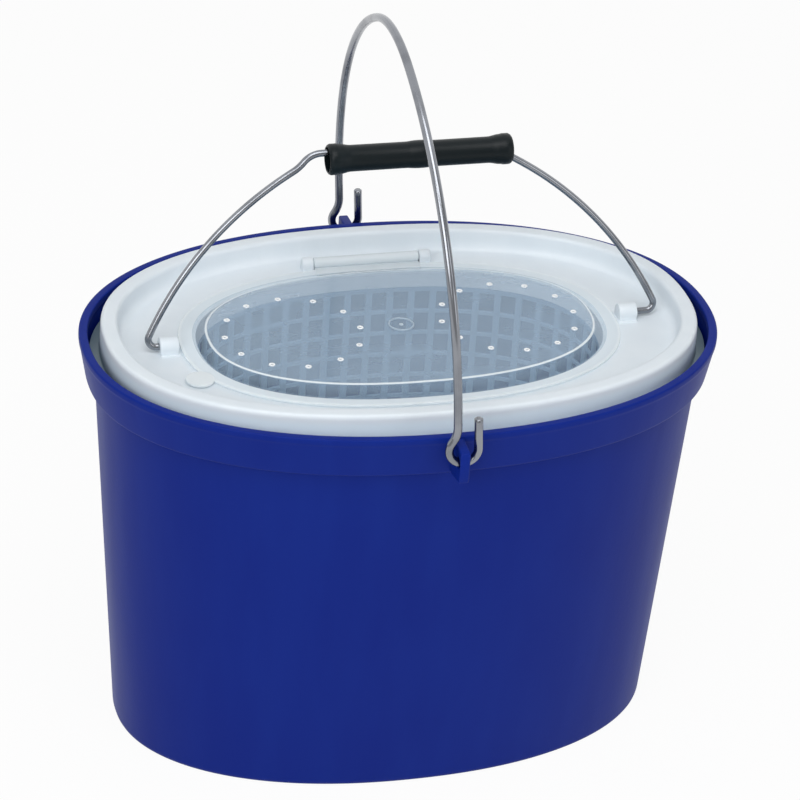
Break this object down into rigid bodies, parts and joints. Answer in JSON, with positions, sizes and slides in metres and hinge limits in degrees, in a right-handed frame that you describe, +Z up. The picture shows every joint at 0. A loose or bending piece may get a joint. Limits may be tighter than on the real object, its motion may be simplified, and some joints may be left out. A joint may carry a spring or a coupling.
{
  "type": "bait bucket",
  "caption": "Oval bait bucket with a lift-out sieve insert, a hinged vent lid and two wire bails, one with a grip.",
  "frame": {"origin": "middle of the bucket's foot, on the surface it stands on", "axes": "+X along the oval, to the right of the front view; +Y to the hinge side, at the back; +Z up"},
  "size_m": [0.37, 0.284, 0.4388],
  "materials": {
    "bucket": "moulded, semi-gloss",
    "wire": "bright galvanised wire",
    "deck": "moulded, semi-gloss",
    "basket": "moulded",
    "lid": "translucent, smooth",
    "grip": "black, soft sheen"
  },
  "bodies": {
    "bucket": {"bucket_shell": "bucket"},
    "bucket_bail": {"bucket_bail": "wire"},
    "insert": {"deck_ring": "deck", "sieve_basket": "basket"},
    "lid": {"vent_lid": "lid"},
    "lift_bail": {"insert_bail": "wire"},
    "grip": {"grip": "grip"}
  },
  "joints": [
    {"name": "bucket_bail_swing", "type": "hinge", "parent": "bucket", "child": "bucket_bail", "pos_m": [0, 0, 0.2502], "axis": [0, 1, 0], "range_deg": [-71, 78]},
    {"name": "insert_lift", "type": "slide", "parent": "bucket", "child": "insert", "axis": [0, 0, 1], "range_m": [0, 0.04]},
    {"name": "lid_swing", "type": "hinge", "parent": "insert", "child": "lid", "pos_m": [0, 0.0845, 0.2498], "axis": [-1, 0, 0], "range_deg": [0, 20]},
    {"name": "lift_bail_swing", "type": "hinge", "parent": "insert", "child": "lift_bail", "pos_m": [0, 0, 0.2495], "axis": [1, 0, 0], "range_deg": [-62, 90]},
    {"name": "grip_turn", "type": "hinge", "parent": "lift_bail", "child": "grip", "pos_m": [0.0113, 0.02441, 0.34813], "axis": [1, 0, 0], "continuous": true}
  ]
}
